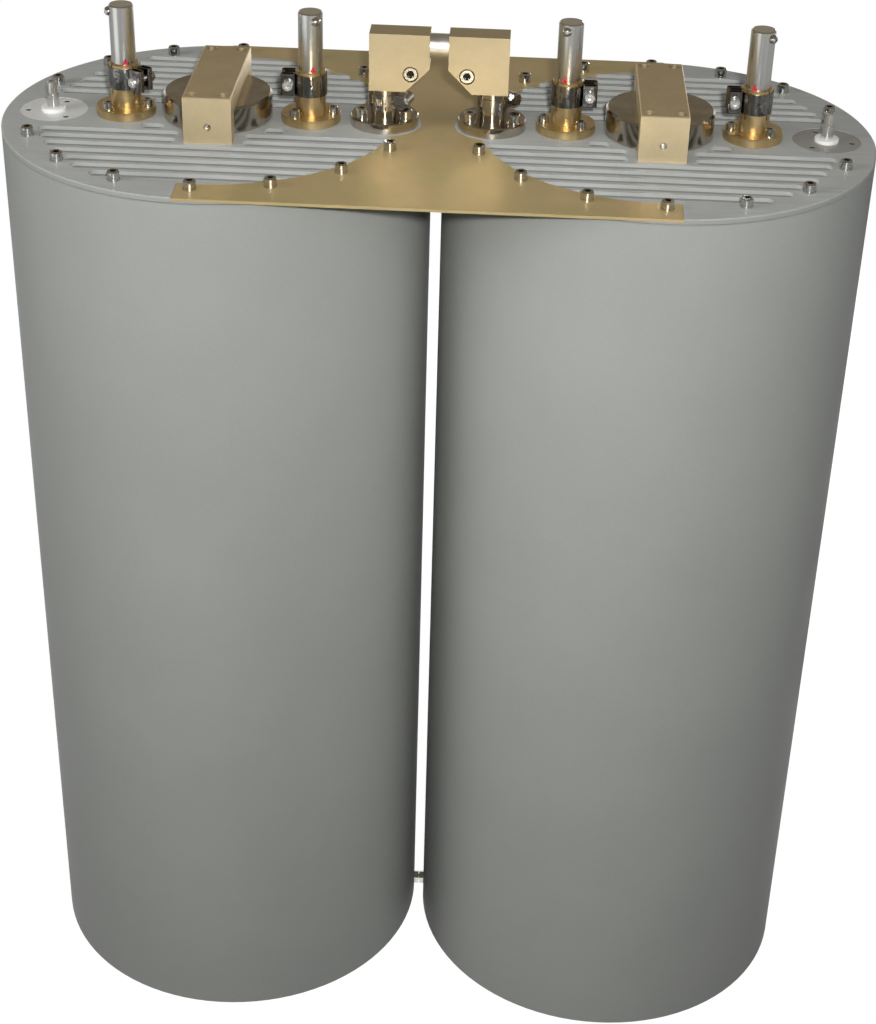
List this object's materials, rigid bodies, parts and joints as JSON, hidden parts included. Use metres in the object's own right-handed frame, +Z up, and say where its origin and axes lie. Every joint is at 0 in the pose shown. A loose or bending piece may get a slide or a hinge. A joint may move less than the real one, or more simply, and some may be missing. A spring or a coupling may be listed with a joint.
{
  "type": "cavity filter",
  "caption": "Coaxial cavity filter: upright cavity tubes under slotted covers, joined by a bridge plate and coupling link, with sliding tuning rods in clamped collars and bare pin ports.",
  "frame": {"origin": "centre of the part's footprint, on the floor between the two cavity tubes", "axes": "+X from the left cavity to the right one, +Y to the back, +Z up along the tubes"},
  "size_m": [0.608, 0.3, 0.7824],
  "materials": {
    "tube_paint": "satin",
    "cover_paint": "satin",
    "chromate_plate": "satin",
    "chromate_block": "satin",
    "nickel": "polished",
    "brass": "polished",
    "dark_chrome": "polished",
    "band_steel": "satin",
    "copper": "satin",
    "rod_metal": "satin",
    "silver_plate": "polished",
    "insulator": "matte",
    "screw_steel": "satin"
  },
  "bodies": {
    "filter": {"left_cavity_tube": "tube_paint", "right_cavity_tube": "tube_paint", "left_top_cover": "cover_paint", "right_top_cover": "cover_paint", "left_bottom_plate": "cover_paint", "right_bottom_plate": "cover_paint", "rim_screws": "screw_steel", "base_screws": "screw_steel", "bridge_plate": "chromate_plate", "left_resonator": "copper", "right_resonator": "copper", "resonator_screws": "screw_steel", "left_resonator_tip": "copper", "right_resonator_tip": "copper", "left_spindle": "screw_steel", "right_spindle": "screw_steel", "left_head_disc": "nickel", "right_head_disc": "nickel", "left_bridge_bar": "chromate_block", "right_bridge_bar": "chromate_block", "bar_screws": "screw_steel", "grub_screws": "screw_steel", "left_outer_collar": "brass", "left_inner_collar": "brass", "right_inner_collar": "brass", "right_outer_collar": "brass", "left_outer_clamp": "dark_chrome", "left_inner_clamp": "dark_chrome", "right_inner_clamp": "dark_chrome", "right_outer_clamp": "dark_chrome", "clamp_screws": "screw_steel", "clamp_nuts": "screw_steel", "collar_screws": "screw_steel", "left_link_flange": "nickel", "right_link_flange": "nickel", "link_screws": "screw_steel", "left_link_riser": "nickel", "right_link_riser": "nickel", "left_hose_clamp": "band_steel", "right_hose_clamp": "band_steel", "worm_screws": "band_steel", "left_elbow_block": "chromate_block", "right_elbow_block": "chromate_block", "elbow_screws": "screw_steel", "link_tube": "silver_plate", "link_conductor": "silver_plate", "link_beads": "insulator", "left_port_insulator": "insulator", "right_port_insulator": "insulator", "left_port_conductor": "silver_plate", "right_port_conductor": "silver_plate", "spacer": "screw_steel"},
    "left_outer_tuner": {"left_outer_rod": "rod_metal", "left_outer_stop_screw": "screw_steel"},
    "left_inner_tuner": {"left_inner_rod": "rod_metal", "left_inner_stop_screw": "screw_steel"},
    "right_inner_tuner": {"right_inner_rod": "rod_metal", "right_inner_stop_screw": "screw_steel"},
    "right_outer_tuner": {"right_outer_rod": "rod_metal", "right_outer_stop_screw": "screw_steel"}
  },
  "joints": [
    {"name": "left_outer_slide", "type": "slide", "parent": "filter", "child": "left_outer_tuner", "axis": [0, 0, 1], "range_m": [-0.0322, 0.03]},
    {"name": "left_inner_slide", "type": "slide", "parent": "filter", "child": "left_inner_tuner", "axis": [0, 0, 1], "range_m": [-0.0322, 0.03]},
    {"name": "right_inner_slide", "type": "slide", "parent": "filter", "child": "right_inner_tuner", "axis": [0, 0, 1], "range_m": [-0.0322, 0.03]},
    {"name": "right_outer_slide", "type": "slide", "parent": "filter", "child": "right_outer_tuner", "axis": [0, 0, 1], "range_m": [-0.0322, 0.03]}
  ]
}
